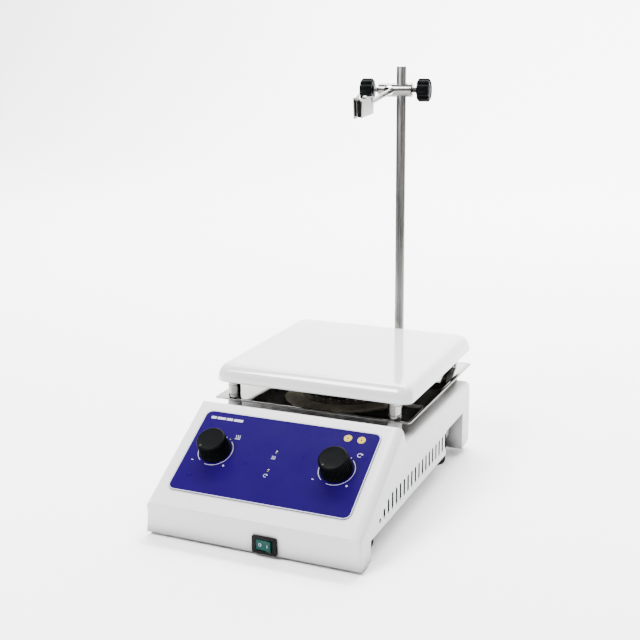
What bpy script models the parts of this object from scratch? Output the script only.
"""Magnetic stirrer with a heated plate, a support rod and a spring clip.

Frame: metres, +Z up, the front faces -Y, the origin is on the floor under the middle of the bounding box.
Lengths are written in millimetres and turned into metres by the helpers.
"""
import math

import bmesh
import bpy
from mathutils import Matrix, Vector
from mathutils.geometry import interpolate_bezier

MM = 0.001
GAP = 0.3                     # left between pieces that touch

# Housing, as a side outline in Y and Z
HALF_WIDTH = 92.0
WALL = 3.0
SIDE_WALL = 4.0
FRONT = -158.7                # tip of the ledge
SKIRT = -156.0                # front face of the skirt
SKIRT_BOTTOM = 3.0
SKIRT_BACK = -135.7           # rear end of the skirt's side return
LEDGE_Z = 30.3
COVE_DEPTH = 2.3              # hollow under the ledge
COVE_HEIGHT = 10.0
SLOPE = math.radians(30.65)   # control panel above the horizontal
SLOPE_LENGTH = 109.9
DECK_Z = 68.0
DECK_FRONT = -53.4
REAR = 127.8
LEG_FRONT = 103.3
LEG_BOTTOM = 6.0
SIDE_BOTTOM = 19.8
EDGE_ROUND = 3.5
PANEL_ROUND = 9.0             # soft edge between the control panel and the sides

# Side vents and finger recesses
VENTS = 19
VENT_FIRST = -116.2
VENT_PITCH = 9.2
VENT_WIDTH = 3.7
VENT_LOW = 26.0
VENT_HIGH = 40.7
RECESS_START = 51.3
RECESS_DEPTH = 13.0
RECESS_TOP = 42.0

# Plate, tray and what stands between them
PLATE_SIZE = 180.0
PLATE_Y = 46.8
PLATE_BOTTOM = 95.5
PLATE_TOP = 110.4
PLATE_RIM = 6.0
TRAY_Z = 80.1
TRAY_THICKNESS = 1.0
POST_X = 74.0
POST_Y = 82.0                 # from the middle of the plate
POST_RADIUS = 5.4
CAN_RADIUS = 44.0
CAN_WALL = 0.8
CAN_HOLE = 2.3
HEATER_RADIUS = 60.0
SHAFT_RADIUS = 2.5
LEAD_Y = 37.0                 # heater lead, behind the middle of the plate
TERMINAL = (-43.0, 83.8, 33.3)    # middle of the terminal block's top

# Bottom
BOTTOM_Z = 19.5
BOTTOM_THICKNESS = 1.5
FOOT_X = 67.5
FOOT_Y = (-108.7, 79.3)
FOOT_RADIUS = 16.0

# Control panel, in panel axes: X across, Y up the slope from the ledge, Z out of the panel
LABEL_HALF = 78.5
LABEL_LOW = 15.0
LABEL_HIGH = 98.3
LABEL_ROUND = 6.0
LABEL_THICKNESS = 0.5
KNOB_X = 53.3
KNOB_S = 58.0
KNOB_RADIUS = 13.0
KNOB_HEIGHT = 15.0
LAMP_X = -1.3
LAMP_S = {"temp_indicator": 65.6, "speed_indicator": 47.0}
LAMP_RADIUS = 1.4

# Rocker switch in the skirt
SWITCH_X = 13.5
SWITCH_Z = 11.1
SWITCH_SIZE = (20.6, 14.0)
ROCKER_SIZE = (13.4, 8.6)
ROCKER_TILT = math.radians(9.0)

# Mains inlet in the rear wall
INLET_X = -50.0
INLET_Z = 42.0
INLET_SIZE = (27.0, 33.0)

# Rod, bosshead and clip
ROD_X = 13.5
ROD_Y = 144.9
ROD_RADIUS = 4.5
ROD_TOP = 357.0
BRACKET_BACK = 153.3
BRACKET_Z = 37.0
STUD_RADIUS = 4.0
BOSS_Z = 335.5
BOSS_TURN = math.radians(6.0)
BOSS_RADIUS = 6.4
BOSS_LEFT = -21.2             # ends of the bosshead, from the rod's axis
BOSS_RIGHT = 10.8
ARM_HOLE = -10.7
ARM_AXIS = -8.9
ARM_RADIUS = 2.4
ARM_LENGTH = 91.0
ARM_DROOP = math.radians(5.0)
SCREW_RADIUS = 2.5
CLAMP_KNOB_RADIUS = 10.6
CLAMP_KNOB_DEPTH = 11.5
JAW_LENGTH = 25.0
JAW_HALF_HEIGHT = 7.3
JAW_SHEET = 0.9
PIN_RADIUS = 1.2

ALONG_X = (math.radians(90), 0.0, math.radians(90))    # prism outline in Y and Z, thickness along X
ALONG_Y = (math.radians(90), 0.0, 0.0)                 # prism outline in X and Z, thickness along Y
AXIS_X = (0.0, math.radians(90), 0.0)                  # turned piece whose axis lies along +X
AXIS_BACK = (math.radians(-90), 0.0, 0.0)              # turned piece whose axis lies along +Y


# ---------------------------------------------------------------- scene and materials

for old in list(bpy.data.objects):
    bpy.data.objects.remove(old, do_unlink=True)

parts = bpy.data.collections.new("magnetic_stirrer")
cutters = bpy.data.collections.new("cutters")
for collection in (parts, cutters):
    bpy.context.scene.collection.children.link(collection)

FINISHES = {
    "white_plastic": ((0.72, 0.72, 0.75), 0.42, 0.0),
    "enamel": ((0.80, 0.82, 0.82), 0.18, 0.0),
    "blue_overlay": ((0.025, 0.015, 0.32), 0.35, 0.0),
    "black_plastic": ((0.012, 0.014, 0.018), 0.45, 0.0),
    "black_rubber": ((0.015, 0.015, 0.017), 0.75, 0.0),
    "green_rocker": ((0.01, 0.16, 0.12), 0.25, 0.0),
    "lens": ((0.05, 0.03, 0.09), 0.2, 0.0),
    "polished_steel": ((0.60, 0.59, 0.57), 0.16, 1.0),
    "brushed_steel": ((0.52, 0.50, 0.47), 0.34, 1.0),
    "zinc_steel": ((0.55, 0.56, 0.57), 0.45, 1.0),
    "aluminium": ((0.70, 0.71, 0.72), 0.38, 1.0),
    "magnet": ((0.20, 0.20, 0.21), 0.40, 1.0),
    "insulation": ((0.62, 0.56, 0.45), 0.90, 0.0),
    "circuit_board": ((0.02, 0.18, 0.07), 0.50, 0.0),
    "copper": ((0.72, 0.38, 0.20), 0.35, 1.0),
    "brass": ((0.75, 0.56, 0.25), 0.30, 1.0),
    "glass_fibre_sleeve": ((0.78, 0.76, 0.70), 0.85, 0.0),
    "glass": ((0.75, 0.80, 0.80), 0.08, 0.0),
}


def new_material(name, finish):
    colour, roughness, metallic = FINISHES[finish]
    material = bpy.data.materials.new(name)
    material.use_nodes = True
    shader = material.node_tree.nodes["Principled BSDF"]
    shader.inputs["Base Color"].default_value = (*colour, 1.0)
    shader.inputs["Roughness"].default_value = roughness
    shader.inputs["Metallic"].default_value = metallic
    material.diffuse_color = (*colour, 1.0)
    return material


# ---------------------------------------------------------------- shape helpers (millimetres in)

def finish_object(name, mesh, finish, place=(0, 0, 0), turn=(0, 0, 0), parent=None, smooth=True):
    """Puts a mesh in the scene: as a part with its own material, or as a cutter when finish is None."""
    piece = bpy.data.objects.new(name, mesh)
    if finish is None:
        cutters.objects.link(piece)
        piece.hide_render = True
        piece.display_type = "WIRE"
    else:
        parts.objects.link(piece)
        mesh.materials.append(new_material(name, finish))
    if smooth and mesh.polygons:
        mesh.shade_smooth()
        mesh.set_sharp_from_angle(angle=math.radians(35))
    piece.location = Vector(place) * MM
    piece.rotation_euler = turn
    piece.parent = parent
    return piece


def mesh_from(bm, name):
    bmesh.ops.recalc_face_normals(bm, faces=bm.faces)
    mesh = bpy.data.meshes.new(name)
    bm.to_mesh(mesh)
    bm.free()
    return mesh


def prism(name, loops, thickness, finish, **where):
    """A flat outline with its holes, made thick: the first loop is the outside."""
    outline = bpy.data.curves.new(name + "_outline", "CURVE")
    outline.dimensions = "2D"
    outline.fill_mode = "BOTH"
    outline.extrude = thickness * MM / 2
    for loop in loops:
        spline = outline.splines.new("POLY")
        spline.points.add(len(loop) - 1)
        for point, (x, y) in zip(spline.points, loop):
            point.co = (x * MM, y * MM, 0.0, 1.0)
        spline.use_cyclic_u = True
    guide = bpy.data.objects.new(name + "_outline", outline)
    cutters.objects.link(guide)
    depsgraph = bpy.context.evaluated_depsgraph_get()
    raw = bpy.data.meshes.new_from_object(guide.evaluated_get(depsgraph))
    bpy.data.objects.remove(guide, do_unlink=True)
    bm = bmesh.new()
    bm.from_mesh(raw)
    bmesh.ops.remove_doubles(bm, verts=bm.verts, dist=0.000002)
    bmesh.ops.dissolve_limit(bm, angle_limit=math.radians(0.2), verts=bm.verts, edges=bm.edges)
    return finish_object(name, mesh_from(bm, name), finish, **where)


def boxes(name, items, finish, edge=0.0, **where):
    """Boxes given by their lowest and highest corners, as one piece or as a group of separate solids."""
    bm = bmesh.new()
    for low, high in items:
        low, high = Vector(low) * MM, Vector(high) * MM
        size = Matrix.Diagonal((*(high - low), 1.0))
        bmesh.ops.create_cube(bm, size=1.0, matrix=Matrix.Translation((low + high) / 2) @ size)
    if edge:
        bmesh.ops.bevel(bm, geom=bm.edges, offset=edge * MM, segments=2, profile=0.5, affect="EDGES")
    return finish_object(name, mesh_from(bm, name), finish, smooth=False, **where)


def rods(name, items, finish, sides=24, **where):
    """Plain cylinders given as (start, end, radius), one piece or a group of separate solids."""
    bm = bmesh.new()
    for start, end, radius in items:
        start, end = Vector(start) * MM, Vector(end) * MM
        turn = (end - start).to_track_quat("Z", "Y").to_matrix().to_4x4()
        bmesh.ops.create_cone(bm, cap_ends=True, segments=sides, radius1=radius * MM, radius2=radius * MM,
                              depth=(end - start).length, matrix=Matrix.Translation((start + end) / 2) @ turn)
    return finish_object(name, mesh_from(bm, name), finish, **where)


def turned(name, profile, finish, steps=40, **where):
    """A turned piece: (radius, height) points that run down its outer side and, if it is a ring, up inside."""
    mesh = bpy.data.meshes.new(name)
    edges = [(i, i + 1) for i in range(len(profile) - 1)]
    if profile[0][0] > 0:
        edges.append((len(profile) - 1, 0))
    mesh.from_pydata([(r * MM, 0.0, z * MM) for r, z in profile], edges, [])
    piece = finish_object(name, mesh, finish, smooth=False, **where)
    screw = piece.modifiers.new("turn", "SCREW")
    screw.steps = screw.render_steps = steps
    screw.use_merge_vertices = True
    screw.merge_threshold = 0.000005
    screw.use_smooth_shade = False
    return piece


def tube(name, route, radius, finish, **where):
    """A wire of round section along a list of points."""
    wire = bpy.data.curves.new(name, "CURVE")
    wire.dimensions = "3D"
    wire.bevel_depth = radius * MM
    wire.bevel_resolution = 2
    wire.use_fill_caps = True
    spline = wire.splines.new("POLY")
    spline.points.add(len(route) - 1)
    for point, place in zip(spline.points, route):
        point.co = (*(Vector(place) * MM), 1.0)
    wire.materials.append(new_material(name, finish))
    piece = bpy.data.objects.new(name, wire)
    parts.objects.link(piece)
    piece.parent = where.get("parent")
    return piece


def boolean(piece, other, operation="DIFFERENCE"):
    modifier = piece.modifiers.new(operation.lower(), "BOOLEAN")
    modifier.operation = operation
    modifier.solver = "EXACT"
    modifier.object = other
    return piece


def bore(piece, items, name=None, sides=24, **where):
    """Cuts round holes, given as (start, end, radius) in the cutter's own axes."""
    cutter = rods(name or piece.name + "_holes", items, None, sides=sides, **where)
    return boolean(piece, cutter)


def empty(name, place, turn, parent=None):
    axes = bpy.data.objects.new(name, None)
    parts.objects.link(axes)
    axes.location = Vector(place) * MM
    axes.rotation_euler = turn
    axes.parent = parent
    return axes


# ---------------------------------------------------------------- outline helpers (millimetres)

def rounded(corners, steps=5):
    """Turns (x, y, radius) corners into an outline whose corners are arcs."""
    points = []
    for i, (x, y, radius) in enumerate(corners):
        here = Vector((x, y))
        before = Vector(corners[i - 1][:2]) - here
        after = Vector(corners[(i + 1) % len(corners)][:2]) - here
        if radius <= 0:
            points.append((x, y))
            continue
        half = before.angle(after) / 2
        centre = here + (before.normalized() + after.normalized()).normalized() * radius / math.sin(half)
        start = here + before.normalized() * radius / math.tan(half) - centre
        end = here + after.normalized() * radius / math.tan(half) - centre
        sweep = start.angle_signed(end)
        for k in range(steps + 1):
            turn = Matrix.Rotation(-sweep * k / steps, 2)
            points.append(tuple(centre + turn @ start))
    return points


def rectangle(x0, y0, x1, y1, radius=0.0, steps=4):
    return rounded([(x0, y0, radius), (x1, y0, radius), (x1, y1, radius), (x0, y1, radius)], steps)


def circle(x, y, radius, sides=24):
    turns = [2 * math.pi * k / sides for k in range(sides)]
    return [(x + radius * math.cos(a), y + radius * math.sin(a)) for a in turns]


def fluted(radius, depth, lobes, steps=6):
    """A round outline with smooth lobes around it."""
    points = []
    for k in range(lobes * steps):
        a = 2 * math.pi * k / (lobes * steps)
        points.append((a, radius - depth * (0.5 - 0.5 * math.cos(lobes * a)) ** 2))
    return [(r * math.cos(a), r * math.sin(a)) for a, r in points]


def along_slope(s, out=0.0):
    """Y and Z of a point s up the control panel and out from its surface."""
    y = FRONT + GAP + s * math.cos(SLOPE) - out * math.sin(SLOPE)
    z = LEDGE_Z + s * math.sin(SLOPE) + out * math.cos(SLOPE)
    return y, z


panel_axes = empty("panel_axes", (0.0, *along_slope(0.0)), (SLOPE, 0.0, 0.0))


# ---------------------------------------------------------------- housing

def recess_cutter(name, grow):
    """Finger recesses in both sides, just ahead of the rear leg: upright cylinders cut short by the leg."""
    run = LEG_FRONT - RECESS_START
    radius = (run ** 2 + RECESS_DEPTH ** 2) / (2 * RECESS_DEPTH)
    centre = HALF_WIDTH + radius - RECESS_DEPTH
    reach = radius + grow
    sweep = math.acos(max(-1.0, (centre - HALF_WIDTH) / reach)) + 0.06
    arc = [(centre - reach * math.cos(a), LEG_FRONT - reach * math.sin(a))
           for a in [sweep * k / 10 for k in range(11)]]
    outline = [(HALF_WIDTH + 20.0, LEG_FRONT + grow), (centre - reach, LEG_FRONT + grow), *arc,
               (HALF_WIDTH + 20.0, arc[-1][1])]
    high = RECESS_TOP + grow
    low = -30.0
    right = prism(name + "_right", [outline], high - low, None, place=(0, 0, (high + low) / 2))
    mirrored = [(-x, y) for x, y in reversed(outline)]
    left = prism(name + "_left", [mirrored], high - low, None, place=(0, 0, (high + low) / 2))
    return right, left


def build_housing():
    ridge_y, ridge_z = along_slope(SLOPE_LENGTH)
    tip_y, tip_z = along_slope(0.0)
    cove = [(SKIRT - COVE_DEPTH * t ** 1.4, LEDGE_Z - 0.8 + COVE_HEIGHT * (t - 1), 0.0)
            for t in (0.0, 0.25, 0.5, 0.75, 1.0)]
    outside = rounded([
        (SKIRT, SKIRT_BOTTOM, 0.8), *cove, (tip_y - GAP, tip_z - 0.3, 0.0), (tip_y + 0.4, tip_z + 0.24, 0.0),
        (ridge_y, ridge_z, 4.5), (DECK_FRONT, DECK_Z, 4.0), (REAR, DECK_Z, 9.0), (REAR, LEG_BOTTOM, 6.0),
        (LEG_FRONT, LEG_BOTTOM, 0.6), (LEG_FRONT, SIDE_BOTTOM, 0.0), (SKIRT_BACK, SIDE_BOTTOM, 0.0),
        (SKIRT_BACK, SKIRT_BOTTOM, 0.8)])
    housing = prism("housing", [outside], 2 * HALF_WIDTH, "white_plastic", turn=ALONG_X)

    # Rounded edges where the sides meet the top, the front and the rear; the open lower rim stays square
    bm = bmesh.new()
    bm.from_mesh(housing.data)
    weight = bm.edges.layers.float.new("bevel_weight_edge")
    for edge in bm.edges:
        across = [abs(face.normal.z) > 0.9 for face in edge.link_faces]
        middle = (edge.verts[0].co + edge.verts[1].co) / (2 * MM)
        on_rim = middle.y < SIDE_BOTTOM + 0.5 and SKIRT + 1.0 < middle.x < REAR - 7.0
        on_rim = on_rim or middle.y < SKIRT_BOTTOM + 1.0
        edge[weight] = 1.0 if sorted(across) == [False, True] and not on_rim else 0.0
    bm.to_mesh(housing.data)
    bm.free()
    edges = housing.modifiers.new("edges", "BEVEL")
    edges.limit_method = "WEIGHT"
    edges.width = EDGE_ROUND * MM
    edges.segments = 3
    edges.use_clamp_overlap = False

    # Softer edges along both sides of the control panel
    soft = []
    for side in (1, -1):
        corner = [(HALF_WIDTH + 3.0, 3.0), (HALF_WIDTH - PANEL_ROUND, 3.0)]
        for k in range(7):
            a = math.radians(90) * (1 - k / 6)
            corner.append((HALF_WIDTH - PANEL_ROUND + PANEL_ROUND * math.cos(a),
                           -PANEL_ROUND + PANEL_ROUND * math.sin(a)))
        corner.append((HALF_WIDTH + 3.0, -PANEL_ROUND))
        outline = [(side * x, z) for x, z in corner]
        soft.append(prism(f"panel_edge_{side}", [outline], SLOPE_LENGTH + 20.0, None,
                          place=(0.0, SLOPE_LENGTH / 2, 0.0), turn=ALONG_Y, parent=panel_axes))
    for cutter in soft:
        boolean(housing, cutter)
    for cutter in recess_cutter("recess", 0.0):
        boolean(housing, cutter)

    # Vents through both sides
    slots = []
    for k in range(VENTS):
        y = VENT_FIRST + k * VENT_PITCH
        top = min(VENT_HIGH, VENT_LOW + 3.9 + (y - VENT_FIRST) * 0.47)
        half = VENT_WIDTH / 2
        slots.append(rectangle(y - half, VENT_LOW, y + half, top, half - 0.6, 1))
    vents = prism("vents", slots, 2 * HALF_WIDTH + 20.0, None, turn=ALONG_X)
    boolean(housing, vents)

    # The hollow, open below, one wall inside the outline and around the recesses
    slope_tan = math.tan(SLOPE)
    inner_y, inner_z = along_slope(0.0, -WALL)
    front = SKIRT + WALL
    top_y, top_z = along_slope(SLOPE_LENGTH - WALL * 1.2, -WALL)
    hollow_outline = [
        (front, -30.0), (front, inner_z + (front - inner_y) * slope_tan), (top_y, top_z),
        (DECK_FRONT - WALL * 1.3, DECK_Z - WALL), (REAR - WALL, DECK_Z - WALL), (REAR - WALL, -30.0)]
    hollow = prism("hollow", [hollow_outline], 2 * (HALF_WIDTH - SIDE_WALL), None, turn=ALONG_X)
    for cutter in recess_cutter("recess_wall", WALL):
        boolean(hollow, cutter)
    boolean(housing, hollow)

    # Bosses on the deck that carry the tray, with the posts' studs through them
    bosses = [((x, y, DECK_Z - 1.0), (x, y, TRAY_Z - GAP), 6.0) for x, y in post_places().values()]
    boolean(housing, rods("deck_bosses", bosses, None, 24), "UNION")

    # Holes: posts, shaft and heater leads in the deck, knob bushes, lamps, switch, inlet, bracket screws
    deck = [((x, y, DECK_Z - 12), (x, y, TRAY_Z + 12), 2.4) for x, y in post_places().values()]
    deck.append(((0, PLATE_Y, DECK_Z - 12), (0, PLATE_Y, DECK_Z + 12), 8.0))
    deck.append(((0, PLATE_Y + LEAD_Y, DECK_Z - 12), (0, PLATE_Y + LEAD_Y, DECK_Z + 12), 4.5))
    bore(housing, deck, "deck_holes")
    panel = [((x, KNOB_S, -12), (x, KNOB_S, 12), 3.8) for x in (-KNOB_X, KNOB_X)]
    panel += [((LAMP_X, s, -12), (LAMP_X, s, 12), LAMP_RADIUS + GAP) for s in LAMP_S.values()]
    bore(housing, panel, "panel_holes", parent=panel_axes)
    half_w, half_h = SWITCH_SIZE[0] / 2 - 1.2, SWITCH_SIZE[1] / 2 - 1.2
    inlet_w, inlet_h = INLET_SIZE[0] / 2 + GAP, INLET_SIZE[1] / 2 + GAP
    windows = boxes("windows", [
        ((SWITCH_X - half_w - GAP, SKIRT - 9, SWITCH_Z - half_h - GAP),
         (SWITCH_X + half_w + GAP, SKIRT + 9, SWITCH_Z + half_h + GAP)),
        ((INLET_X - inlet_w, REAR - 9, INLET_Z - inlet_h), (INLET_X + inlet_w, REAR + 9, INLET_Z + inlet_h))],
        None)
    boolean(housing, windows)
    screws = [((x, REAR - 9, z), (x, REAR + 9, z), 2.3) for x, z in bracket_screw_places().values()]
    bore(housing, screws, "bracket_screw_holes")


def bracket_screw_places():
    return {"left": (ROD_X - 12.0, 51.0), "right": (ROD_X + 12.0, 51.0)}


def build_bottom():
    half = HALF_WIDTH - SIDE_WALL - GAP
    rear = REAR - WALL - GAP
    front = SKIRT_BACK + 0.5
    z0, z1 = BOTTOM_Z, BOTTOM_Z + BOTTOM_THICKNESS
    toe = SKIRT + WALL + GAP
    profile = [(rear, z0), (rear, z1), (front, z1), (front, SKIRT_BOTTOM + 2.0), (toe, SKIRT_BOTTOM + 2.0),
               (toe, SKIRT_BOTTOM + 0.5), (front + BOTTOM_THICKNESS, SKIRT_BOTTOM + 0.5),
               (front + BOTTOM_THICKNESS, z0)]
    plate = prism("bottom_plate", [profile], 2 * half, "zinc_steel", turn=ALONG_X)
    for cutter in recess_cutter("bottom_relief", WALL + GAP):
        boolean(plate, cutter)
    feet = [((x, y, z0 - 5), (x, y, z1 + 5), 2.3) for x in (-FOOT_X, FOOT_X) for y in FOOT_Y]
    bore(plate, feet)

    corners = {"front_left": (-1, 0), "front_right": (1, 0), "rear_left": (-1, 1), "rear_right": (1, 1)}
    top = BOTTOM_Z - GAP
    profile = [(2.3, top), (FOOT_RADIUS, top), (FOOT_RADIUS, 5.0), (FOOT_RADIUS - 0.8, 1.6),
               (FOOT_RADIUS - 2.2, 0.0), (4.4, 0.0), (4.4, 10.0), (2.3, 10.0)]
    for corner, (side, end) in corners.items():
        turned(f"foot_{corner}", profile, "black_rubber", 20, place=(side * FOOT_X, FOOT_Y[end], 0.0))


# ---------------------------------------------------------------- control panel

def build_panel():
    out = GAP + LABEL_THICKNESS / 2
    loops = [rectangle(-LABEL_HALF, LABEL_LOW, LABEL_HALF, LABEL_HIGH, LABEL_ROUND, 6)]
    loops += [circle(x, KNOB_S, 6.6, 24) for x in (-KNOB_X, KNOB_X)]
    loops += [circle(LAMP_X, s, LAMP_RADIUS + GAP, 12) for s in LAMP_S.values()]
    prism("control_label", loops, LABEL_THICKNESS, "blue_overlay", place=(0, 0, out), parent=panel_axes)
    for name, s in LAMP_S.items():
        profile = [(0.0, 1.5), (LAMP_RADIUS * 0.75, 1.2), (LAMP_RADIUS, 0.7), (LAMP_RADIUS, -5.5), (0.0, -5.5)]
        turned(name, profile, "lens", 16, place=(LAMP_X, s, 0.0), parent=panel_axes)

    for name, x in {"temp": -KNOB_X, "speed": KNOB_X}.items():
        where = {"place": (x, KNOB_S, 0.0), "parent": panel_axes}
        below = -WALL - GAP
        body = [(3.2, 4.2), (3.5, 4.2), (3.5, below), (8.2, below), (8.2, below - 9.0), (0.0, below - 9.0),
                (0.0, below - 7.5), (3.2, below - 7.5)]
        turned(f"{name}_potentiometer", body, "zinc_steel", 20, **where)
        shaft = [(0.0, 12.4), (2.6, 12.4), (2.9, 12.0), (2.9, below - 7.1), (0.0, below - 7.1)]
        turned(f"{name}_shaft", shaft, "aluminium", 20, **where)
        prism(f"{name}_nut", [circle(0, 0, 6.0, 6), circle(0, 0, 3.9, 20)], 2.2, "zinc_steel",
              place=(x, KNOB_S, 1.5), parent=panel_axes)
        build_knob(f"{name}_knob", where)


def build_knob(name, where):
    """A ribbed knob, hollow below over the nut and bush, with a blind hole for the shaft."""
    low, high = 1.2, 1.2 + KNOB_HEIGHT
    knob = prism(name, [fluted(KNOB_RADIUS, 0.5, 24, 2)], high - low, "black_plastic",
                 place=(where["place"][0], where["place"][1], (high + low) / 2), parent=where["parent"])
    bm = bmesh.new()
    bm.from_mesh(knob.data)
    top = max(v.co.z for v in bm.verts)
    for vert in bm.verts:
        if vert.co.z > top - 0.0001:
            vert.co.x *= 0.94
            vert.co.y *= 0.94
    rim = [e for e in bm.edges if all(v.co.z > top - 0.0001 for v in e.verts)
           and any(abs(f.normal.z) < 0.9 for f in e.link_faces)]
    bmesh.ops.bevel(bm, geom=rim, offset=1.1 * MM, segments=2, profile=0.5, affect="EDGES")
    bm.to_mesh(knob.data)
    bm.free()
    knob.data.shade_smooth()
    knob.data.set_sharp_from_angle(angle=math.radians(40))
    middle = (high + low) / 2
    inside = [((0, 0, -middle), (0, 0, 5.6 - middle), 7.0), ((0, 0, 5.0 - middle), (0, 0, 12.8 - middle), 3.2)]
    for index, item in enumerate(inside):
        bore(knob, [item], f"{name}_bore_{index}", 24,
             place=(where["place"][0], where["place"][1], middle), parent=where["parent"])
    slot = boxes(f"{name}_pointer", [((-0.6, 3.0, high - 0.5), (0.6, KNOB_RADIUS + 2.0, high + 1.0))], None,
                 place=where["place"], parent=where["parent"])
    boolean(knob, slot)


# ---------------------------------------------------------------- switch and mains inlet

def build_switch():
    width, height = SWITCH_SIZE
    rocker_w, rocker_h = ROCKER_SIZE[0] / 2 + 0.5, ROCKER_SIZE[1] / 2 + 0.4
    out = SKIRT - GAP
    flange = rectangle(-width / 2, -height / 2, width / 2, height / 2, 1.0, 3)
    window = rectangle(-rocker_w, -rocker_h, rocker_w, rocker_h)
    bezel = prism("switch_bezel", [flange, window], 1.8, "black_plastic",
                  place=(SWITCH_X, out - 0.9, SWITCH_Z), turn=ALONG_Y)
    tube = rectangle(-width / 2 + 1.2, -height / 2 + 1.2, width / 2 - 1.2, height / 2 - 1.2)
    prism_body = prism("switch_sleeve", [tube, window], 11.0, None,
                       place=(SWITCH_X, out + 5.4, SWITCH_Z), turn=ALONG_Y)
    boolean(bezel, prism_body, "UNION")
    back = boxes("switch_back", [((-width / 2 + 1.2, 9.0, -height / 2 + 1.2),
                                  (width / 2 - 1.2, 12.5, height / 2 - 1.2))], None,
                 place=(SWITCH_X, out, SWITCH_Z))
    boolean(bezel, back, "UNION")

    # The rocker tips about an upright pin; its two faces meet in a shallow valley
    half = ROCKER_SIZE[0] / 2
    rise = half * math.tan(ROCKER_TILT)
    face = [(-half, -2.6 - rise), (-half * 0.5, -2.6 - rise * 0.42), (0.0, -2.6), (half * 0.5, -2.6 - rise * 0.42),
            (half, -2.6 - rise), (half, 0.4), (half * 0.55, 3.6), (-half * 0.55, 3.6), (-half, 0.4)]
    prism("switch_rocker", [face], ROCKER_SIZE[1], "green_rocker",
          place=(SWITCH_X, out + 1.2, SWITCH_Z), turn=(0.0, 0.0, -ROCKER_TILT))


def build_inlet():
    width, height = INLET_SIZE[0] / 2, INLET_SIZE[1] / 2
    out = REAR + GAP
    body = prism("power_inlet", [rectangle(-width, -height, width, height, 1.0, 2)], 22.0, "black_plastic",
                 place=(INLET_X, REAR - 9.0, INLET_Z), turn=ALONG_Y)
    flange = prism("inlet_flange", [rectangle(-width - 2, -height - 2, width + 2, height + 2, 2.0, 3)], 2.0, None,
                   place=(INLET_X, out + 1.0, INLET_Z), turn=ALONG_Y)
    boolean(body, flange, "UNION")
    socket = [(-12.0, -15.0, 1.0), (12.0, -15.0, 1.0), (12.0, -3.5, 1.0), (8.0, 0.5, 1.0), (-8.0, 0.5, 1.0),
              (-12.0, -3.5, 1.0)]
    hole = prism("inlet_socket", [rounded(socket, 2)], 40.0, None, place=(INLET_X, out + 5.0, INLET_Z), turn=ALONG_Y)
    boolean(body, hole)
    pocket = boxes("fuse_pocket", [((-11.5, -14.0, 3.5), (11.5, 10.0, 13.0))], None,
                   place=(INLET_X, out, INLET_Z))
    boolean(body, pocket)

    pins = [((x - 1.0, REAR - 17.0, INLET_Z + z - 2.0), (x + 1.0, REAR - 5.0, INLET_Z + z + 2.0))
            for x, z in ((INLET_X - 7.0, -9.0), (INLET_X + 7.0, -9.0), (INLET_X, -5.0))]
    boolean(body, boxes("inlet_pins", pins, None, 0.3), "UNION")
    drawer = boxes("fuse_drawer", [((-11.2, -13.0, 3.8), (11.2, 2.0, 12.7))], "black_plastic", 0.3,
                   place=(INLET_X, out, INLET_Z))
    cradle = boxes("fuse_cradle", [((-10.4, -11.5, 5.0), (10.4, -5.0, 14.0)),
                                   ((-5.0, 1.2, 6.8), (5.0, 3.0, 9.8))], None, place=(INLET_X, out, INLET_Z))
    boolean(drawer, cradle)
    rods("fuse", [((INLET_X - 10.0, out - 8.3, INLET_Z + 7.9), (INLET_X + 10.0, out - 8.3, INLET_Z + 7.9), 2.5)],
         "glass", 16)


# ---------------------------------------------------------------- plate, tray, heater and stirring drive

def post_places():
    return {"front_left": (-POST_X, PLATE_Y - POST_Y), "front_right": (POST_X, PLATE_Y - POST_Y),
            "rear_left": (-POST_X, PLATE_Y + POST_Y - 6.0), "rear_right": (POST_X, PLATE_Y + POST_Y - 6.0)}


def build_tray_and_posts():
    half = PLATE_SIZE / 2
    outline = rectangle(-half, PLATE_Y - half, half, PLATE_Y + half, 3.0, 3)
    holes = [circle(x, y, 2.9, 16) for x, y in post_places().values()]
    holes += [circle(0, PLATE_Y, 10.0, 24), circle(0, PLATE_Y + LEAD_Y, 3.0, 12)]
    prism("heat_shield_tray", [outline, *holes], TRAY_THICKNESS, "polished_steel",
          place=(0, 0, TRAY_Z + TRAY_THICKNESS / 2))
    low = TRAY_Z + TRAY_THICKNESS + GAP
    high = PLATE_BOTTOM - GAP
    for corner, (x, y) in post_places().items():
        profile = [(0.0, high), (POST_RADIUS - 0.3, high), (POST_RADIUS, high - 0.3), (POST_RADIUS, low + 0.3),
                   (POST_RADIUS - 0.3, low), (2.0, low), (2.0, DECK_Z - 10.0), (0.0, DECK_Z - 10.0)]
        turned(f"standoff_{corner}", profile, "polished_steel", 20, place=(x, y, 0.0))


def build_plate():
    half = PLATE_SIZE / 2
    plate = prism("top_plate", [rectangle(-half, -half, half, half, 10.0, 5)], PLATE_TOP - PLATE_BOTTOM, "enamel",
                  place=(0, PLATE_Y, (PLATE_TOP + PLATE_BOTTOM) / 2))
    bm = bmesh.new()
    bm.from_mesh(plate.data)
    for sign, offset, segments in ((1, 8.0, 5), (-1, 1.5, 1)):
        rim = [e for e in bm.edges if sum(abs(f.normal.z - sign) < 0.01 for f in e.link_faces) == 1]
        bmesh.ops.bevel(bm, geom=rim, offset=offset * MM, segments=segments, profile=0.5, affect="EDGES")
    bm.to_mesh(plate.data)
    bm.free()
    plate.data.shade_smooth()
    plate.data.set_sharp_from_angle(angle=math.radians(30))
    inner = half - PLATE_RIM
    bosses = [circle(x, y - PLATE_Y, 8.0, 20) for x, y in post_places().values()]
    blocks = [rectangle(-inner, -inner, inner, inner, 5.0, 4)]
    recess = prism("plate_recess", blocks, 12.0, None, place=(0, PLATE_Y, PLATE_TOP - PLATE_RIM - 6.0))
    keep = prism("plate_bosses", bosses, 30.0, None, place=(0, PLATE_Y, PLATE_BOTTOM))
    boolean(recess, keep)
    boolean(plate, recess)


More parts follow.
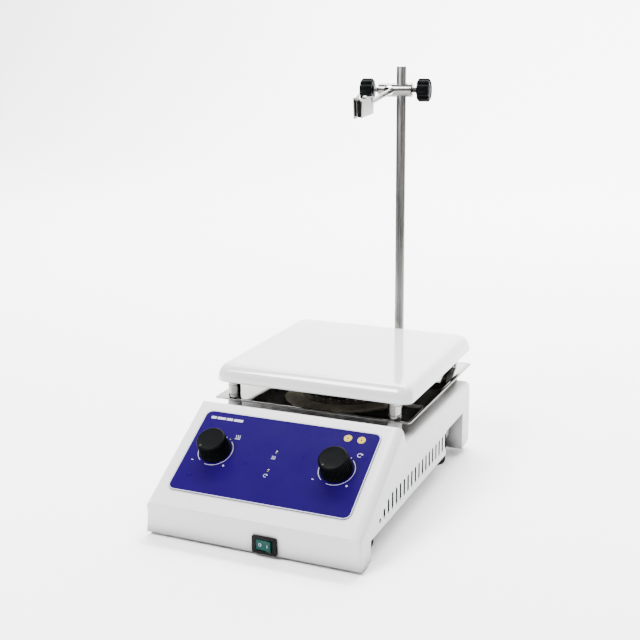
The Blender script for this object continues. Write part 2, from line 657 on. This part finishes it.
def build_heater():
    ceiling = PLATE_TOP - PLATE_RIM
    low = ceiling - GAP - 4.7
    where = {"place": (0, PLATE_Y, 0)}
    turned("heater_disc", [(0.0, ceiling - GAP), (HEATER_RADIUS, ceiling - GAP), (HEATER_RADIUS, low), (0.0, low)],
           "aluminium", 32, **where)
    top = low - GAP
    turned("insulation_disc", [(0.0, top), (HEATER_RADIUS + 2, top), (HEATER_RADIUS + 2, top - 1.5),
                               (0.0, top - 1.5)], "insulation", 32, **where)
    rods("temperature_sensor", [((HEATER_RADIUS + 2, PLATE_Y, ceiling - 3.4),
                                 (HEATER_RADIUS + 18, PLATE_Y, ceiling - 3.4), 2.2)], "brushed_steel", 16)

    # Perforated can between the tray and the insulation, two staggered rows of holes
    can_low = TRAY_Z + TRAY_THICKNESS + GAP
    can_high = top - 1.5 - GAP
    profile = [(CAN_RADIUS - CAN_WALL, can_high), (CAN_RADIUS, can_high), (CAN_RADIUS, can_low),
               (CAN_RADIUS - CAN_WALL, can_low)]
    can = turned("perforated_can", profile, "brushed_steel", 36, **where)
    holes = []
    columns = 10
    for k in range(2 * columns):
        a = math.pi * k / columns
        out = Vector((math.cos(a), math.sin(a)))
        near, far = out * (CAN_RADIUS - 4), out * (CAN_RADIUS + 4)
        for rise in ((3.4, 9.4), (6.4,))[k % 2]:
            holes.append(((*near, can_low + rise), (*far, can_low + rise), CAN_HOLE / 2))
    bore(can, holes, "can_holes", 6, **where)

    tube("heater_lead", lead_route(can_high), 1.5, "glass_fibre_sleeve")


def lead_route(top):
    """Straight down through the tray and the deck, then over to the terminal block in one smooth bend."""
    y = PLATE_Y + LEAD_Y
    down = [Vector((0.0, y, top - k * 8.0)) for k in range(6)]
    end = Vector((TERMINAL[0], y, TERMINAL[2] + GAP))
    bend = interpolate_bezier(down[-1], down[-1] - Vector((0, 0, 24)), end + Vector((0, 0, 20)), end, 12)
    return down + bend[1:]


def build_drive():
    where = {"place": (0, PLATE_Y, 0)}
    motor_top = 53.7
    turned("stirring_motor", [(SHAFT_RADIUS + GAP, motor_top + 1.4), (9.0, motor_top + 1.4), (9.0, motor_top),
                              (27.0, motor_top), (28.0, motor_top - 1.0), (28.0, 27.0), (27.0, 26.0),
                              (0.0, 26.0), (0.0, 28.0), (SHAFT_RADIUS + GAP, 28.0)], "zinc_steel", 28, **where)
    z0, z1 = motor_top + GAP, motor_top + GAP + 1.5
    under = DECK_Z - WALL - GAP
    sheet = 1.5
    hat = [(-36, z0), (36, z0), (36, under - sheet), (52, under - sheet), (52, under), (36 - sheet, under),
           (36 - sheet, z1), (-36 + sheet, z1), (-36 + sheet, under), (-52, under), (-52, under - sheet),
           (-36, under - sheet)]
    bracket = prism("motor_bracket", [hat], 44.0, "zinc_steel", place=(0, PLATE_Y, 0), turn=ALONG_Y)
    bore(bracket, [((0, 0, z0 - 4), (0, 0, z1 + 4), 9.4)], **where)

    holder_low, holder_high = 84.0, 92.0
    turned("motor_shaft", [(0.0, 91.0), (SHAFT_RADIUS, 91.0), (SHAFT_RADIUS, 28.6), (0.0, 28.6)],
           "brushed_steel", 24, **where)
    turned("magnet_holder", [(SHAFT_RADIUS + 0.1, holder_high), (30.0, holder_high), (30.0, holder_low + 3),
                             (12.0, holder_low + 3), (12.0, holder_low), (SHAFT_RADIUS + 0.1, holder_low)],
           "aluminium", 28, **where)
    holder = bpy.data.objects["magnet_holder"]
    bore(holder, [((x, 0, 88.6), (x, 0, 96.0), 7.3) for x in (-20.0, 20.0)], sides=16, **where)
    for name, x in {"magnet_left": -20.0, "magnet_right": 20.0}.items():
        rods(name, [((x, 0, 88.9), (x, 0, 93.6), 7.0)], "magnet", 16, **where)


# ---------------------------------------------------------------- electrics on the bottom plate

def build_electrics():
    floor = BOTTOM_Z + BOTTOM_THICKNESS + GAP
    x0, x1, y0, y1 = -75.0, 15.0, -127.7, -64.7
    board_z = floor + 6.0
    top = board_z + 1.6
    inside = top - 0.8
    board = boxes("control_board", [((x0, y0, board_z), (x1, y1, top))], "circuit_board")
    relay = ((x0 + 8, y1 - 24, inside), (x0 + 27, y1 - 8, top + 15.5))
    heat_sink = [((x0 + 36, y, inside), (x0 + 66, y + 2.5, top + 20)) for y in (y1 - 16, y1 - 11)]
    chips = [((x0 + 14, y0 + 10, inside), (x0 + 34, y0 + 18, top + 3.5)),
             ((x0 + 50, y0 + 12, inside), (x0 + 64, y0 + 20, top + 5.0))]
    boolean(board, boxes("board_components", [relay, *heat_sink, *chips], None), "UNION")
    corners = [(x, y) for x in (x0 + 5, x1 - 5) for y in (y0 + 5, y1 - 5)]
    cans = [((x0 + 42 + 12 * k, y0 + 32, inside), (x0 + 42 + 12 * k, y0 + 32, top + 12.0), 4.0) for k in range(3)]
    legs = [((x, y, floor), (x, y, inside), 3.0) for x, y in corners]
    boolean(board, rods("board_cans_and_legs", cans + legs, None, 16), "UNION")

    core = boxes("transformer", [((32.0, -94.7, floor), (76.0, -58.7, floor + 30.0))], "zinc_steel", 0.6)
    coil = boxes("transformer_coil", [((38.0, -100.7, floor + 6.0), (70.0, -52.7, floor + 24.0))], None, 1.5)
    boolean(core, coil, "UNION")
    x, y, top = TERMINAL
    boxes("terminal_block", [((x - 17.0, y - 7.0, floor), (x + 17.0, y + 7.0, top))], "black_plastic", 0.5)


# ---------------------------------------------------------------- rod, bosshead and clip

def build_rod():
    low = 28.0
    thick = 2.5
    y0, y1 = REAR + GAP, REAR + GAP + thick
    outline = [(y0, low), (y1, low), (y1, BRACKET_Z - 3.0), (BRACKET_BACK, BRACKET_Z - 3.0),
               (BRACKET_BACK, BRACKET_Z), (y1, BRACKET_Z), (y1, 62.0), (y0, 62.0)]
    bracket = prism("rod_bracket", [outline], 40.0, "brushed_steel", place=(ROD_X, 0, 0), turn=ALONG_X)
    bore(bracket, [((ROD_X, ROD_Y, 20), (ROD_X, ROD_Y, 50), STUD_RADIUS + GAP)], "rod_hole")
    bore(bracket, [((x, y0 - 5, z), (x, y1 + 5, z), 2.3) for x, z in bracket_screw_places().values()], "bracket_holes")
    corner = [(20.5, BRACKET_BACK - 14.0), (20.5, BRACKET_BACK + 0.5), (9.0, BRACKET_BACK + 0.5)]
    snips = [corner, [(-x, y) for x, y in reversed(corner)]]
    boolean(bracket, prism("bracket_corners", snips, 12.0, None, place=(ROD_X, 0, BRACKET_Z - 1.5)))
    for side, (x, z) in bracket_screw_places().items():
        head = y1 + GAP
        profile = [(0.0, head + 2.4), (2.6, head + 2.1), (3.8, head + 1.0), (3.8, head), (2.0, head),
                   (2.0, REAR - WALL - 5.0), (0.0, REAR - WALL - 5.0)]
        turned(f"bracket_screw_{side}", profile, "zinc_steel", 20, place=(x, 0, z), turn=AXIS_BACK)

    foot = BRACKET_Z + GAP
    turned("support_rod", [(0.0, ROD_TOP), (ROD_RADIUS - 0.6, ROD_TOP), (ROD_RADIUS, ROD_TOP - 0.6),
                           (ROD_RADIUS, foot), (STUD_RADIUS, foot), (STUD_RADIUS, 23.5),
                           (STUD_RADIUS - 0.7, 22.8), (0.0, 22.8)], "brushed_steel", 28, place=(ROD_X, ROD_Y, 0))
    nut_high = BRACKET_Z - 3.0 - GAP
    prism("rod_lock_nut", [circle(0, 0, 7.5, 6), circle(0, 0, STUD_RADIUS + GAP, 24)], 6.4, "zinc_steel",
          place=(ROD_X, ROD_Y, nut_high - 3.2))


def build_bosshead():
    clamp_axes = empty("clamp_axes", (ROD_X, ROD_Y, BOSS_Z), (0.0, 0.0, BOSS_TURN))
    length = BOSS_RIGHT - BOSS_LEFT
    edge = 0.8
    profile = [(0.0, length), (BOSS_RADIUS - edge, length), (BOSS_RADIUS, length - edge), (BOSS_RADIUS, edge),
               (BOSS_RADIUS - edge, 0.0), (0.0, 0.0)]
    boss = turned("bosshead", profile, "polished_steel", 28, place=(BOSS_LEFT, 0, 0), turn=AXIS_X, parent=clamp_axes)
    bore(boss, [((0, 0, -12), (0, 0, 12), ROD_RADIUS + GAP)], "boss_rod_hole", 24, parent=clamp_axes)
    bore(boss, [((ARM_HOLE, -12, 0), (ARM_HOLE, 12, 0), 4.5)], "boss_arm_hole", 20, parent=clamp_axes)
    for index, (start, end) in enumerate(((0.0, BOSS_RIGHT + 4), (ARM_HOLE, BOSS_LEFT - 4))):
        bore(boss, [((start, 0, 0), (end, 0, 0), SCREW_RADIUS + GAP)], f"boss_screw_hole_{index}", 12,
             parent=clamp_axes)

    clamps = {"rod_clamp": (1, ROD_RADIUS + GAP, BOSS_RIGHT + 5.0),
              "arm_clamp": (-1, -(ARM_AXIS - ARM_RADIUS - 0.55), -BOSS_LEFT + 5.6)}
    for name, (side, tip, seat) in clamps.items():
        turn = (0.0, math.radians(90) * side, 0.0)
        end = seat + CLAMP_KNOB_DEPTH - 3.0
        profile = [(0.0, end), (SCREW_RADIUS, end), (SCREW_RADIUS, tip + 1.0), (SCREW_RADIUS - 0.6, tip), (0.0, tip)]
        turned(f"{name}_screw", profile, "polished_steel", 16, turn=turn, parent=clamp_axes)
        build_clamp_knob(f"{name}_knob", seat, end, turn, clamp_axes)
    return clamp_axes


def build_clamp_knob(name, seat, end, turn, axes):
    """A lobed plastic thumb knob with a hub towards the bosshead and a recessed outer face."""
    middle = seat + CLAMP_KNOB_DEPTH / 2
    direction = 1.0 if turn[1] > 0 else -1.0
    knob = prism(name, [fluted(CLAMP_KNOB_RADIUS, 1.5, 10, 4)], CLAMP_KNOB_DEPTH, "black_plastic",
                 place=(direction * middle, 0, 0), turn=turn, parent=axes)
    bm = bmesh.new()
    bm.from_mesh(knob.data)
    rims = [e for e in bm.edges if sum(abs(f.normal.z) > 0.9 for f in e.link_faces) == 1]
    bmesh.ops.bevel(bm, geom=rims, offset=1.2 * MM, segments=2, profile=0.5, affect="EDGES")
    bm.to_mesh(knob.data)
    bm.free()
    knob.data.shade_smooth()
    knob.data.set_sharp_from_angle(angle=math.radians(40))
    where = {"place": (0, 0, 0), "turn": turn, "parent": axes}
    bore(knob, [((0, 0, seat - 3), (0, 0, end + GAP), SCREW_RADIUS + 0.1)], name + "_thread", 20, **where)
    top = seat + CLAMP_KNOB_DEPTH
    ring = turned(name + "_face", [(4.2, top + 2), (7.2, top + 2), (7.2, top - 1.4), (4.2, top - 1.4)], None, 20,
                  **where)
    boolean(knob, ring)


def arm_matrix_turn():
    """Turn of the arm's axes: X forward along the arm, drooping, and Z up."""
    return (0.0, ARM_DROOP, math.radians(-90))


def build_clip(clamp_axes):
    arm_axes = empty("arm_axes", (ARM_AXIS, 0, 0), arm_matrix_turn(), clamp_axes)
    profile = [(0.0, ARM_LENGTH), (ARM_RADIUS, ARM_LENGTH), (ARM_RADIUS, -7.6), (ARM_RADIUS - 0.4, -8.0), (0.0, -8.0)]
    turned("clip_arm", profile, "brushed_steel", 24, turn=AXIS_X, parent=arm_axes)

    base = ARM_LENGTH + GAP
    tip = base + JAW_LENGTH
    root_y, tip_y = 6.4, 2.5
    pin_x = base + 4.6
    half = JAW_HALF_HEIGHT
    t = JAW_SHEET
    tail = [(tip, tip_y), (tip + 2.2, tip_y + 1.4), (tip + 2.2 + 0.5, tip_y + 1.4 - t * 0.8), (tip + 0.3, tip_y - t)]
    near = [(base, -2.4), (base, root_y), *tail, (base + t, root_y - t), (base + t, -2.4)]
    near_jaw = prism("clip_fixed_jaw", [near], 2 * half, "polished_steel", parent=arm_axes)
    notch = prism("jaw_notch", [[(base + 2.0, half + 1), (base + 3.8, half - 5.5), (base + 5.2, half + 1)]], 8.0, None,
                  place=(0, root_y - 0.5, 0), turn=ALONG_Y, parent=arm_axes)
    boolean(near_jaw, notch)
    for sign in (1, -1):
        ear = [(pin_x - 2.2, 5.4), (pin_x - 2.2, 0.0), *[(pin_x - 2.2 * math.cos(a), -2.2 * math.sin(a))
               for a in [math.pi * k / 8 for k in range(1, 8)]], (pin_x + 2.2, 0.0), (pin_x + 2.2, 5.2)]
        fixed_ear = prism(f"fixed_ear_{sign}", [ear], 0.9, None, place=(0, 0, sign * (half - 0.9)), parent=arm_axes)
        boolean(near_jaw, fixed_ear, "UNION")
    bore(near_jaw, [((pin_x, 0, -12), (pin_x, 0, 12), PIN_RADIUS + 0.1)], "fixed_jaw_pin_hole", 16, parent=arm_axes)

    # Moving jaw, in its own axes on the pin
    pin_axes = empty("pin_axes", (pin_x, 0, 0), (0, 0, 0), arm_axes)
    start = base + 1.4 - pin_x
    far = [(start, -root_y), (tip - pin_x, -tip_y), (tip + 2.2 - pin_x, -tip_y - 1.4),
           (tip + 2.7 - pin_x, -tip_y - 1.4 + t * 0.8), (tip + 0.3 - pin_x, -tip_y + t), (start, -root_y + t)]
    low, high = -half - 0.4, half + 2.4
    far_jaw = prism("clip_moving_jaw", [far], high - low, "polished_steel", place=(0, 0, (high + low) / 2),
                    parent=pin_axes)
    for sign in (1, -1):
        ear = [(-2.2, 0.0), *[(-2.2 * math.cos(a), 2.2 * math.sin(a)) for a in [math.pi * k / 8 for k in range(1, 8)]],
               (2.2, 0.0), (2.2, -5.2), (-2.2, -5.6)]
        moving_ear = prism(f"moving_ear_{sign}", [ear], 0.9, None, place=(0, 0, sign * (half - 2.2)), parent=pin_axes)
        boolean(far_jaw, moving_ear, "UNION")
    bore(far_jaw, [((0, 0, -12), (0, 0, 12), PIN_RADIUS + 0.1)], "moving_jaw_pin_hole", 16, parent=pin_axes)
    rods("clip_pin", [((0, 0, -half - 0.8), (0, 0, half + 0.8), PIN_RADIUS)], "zinc_steel", 16, parent=pin_axes)

    turns, steps, radius, height = 3, 9, 1.95, 4.4
    coil = [(radius * math.cos(2 * math.pi * k / steps), radius * math.sin(2 * math.pi * k / steps),
             height * (k / (turns * steps) - 0.5)) for k in range(turns * steps + 1)]
    tube("clip_spring", coil, 0.35, "zinc_steel", parent=pin_axes)

    # Linings on the inner faces near the tips
    for name, side in {"fixed_jaw_lining": 1, "moving_jaw_lining": -1}.items():
        slant = math.atan2(root_y - tip_y, JAW_LENGTH) * -side
        centre_x = base + JAW_LENGTH * 0.72 - pin_x
        centre_y = side * (root_y + (tip_y - root_y) * 0.72 - t - 0.75 - GAP)
        boxes(name, [((-3.6, -0.6, -half + 0.3), (6.6, 0.6, half - 0.3))], "black_rubber", 0.25,
              place=(centre_x, centre_y, 0), turn=(0, 0, slant), parent=pin_axes)


build_housing()
build_bottom()
build_panel()
build_switch()
build_inlet()
build_tray_and_posts()
build_plate()
build_heater()
build_drive()
build_electrics()
build_rod()
build_clip(build_bosshead())
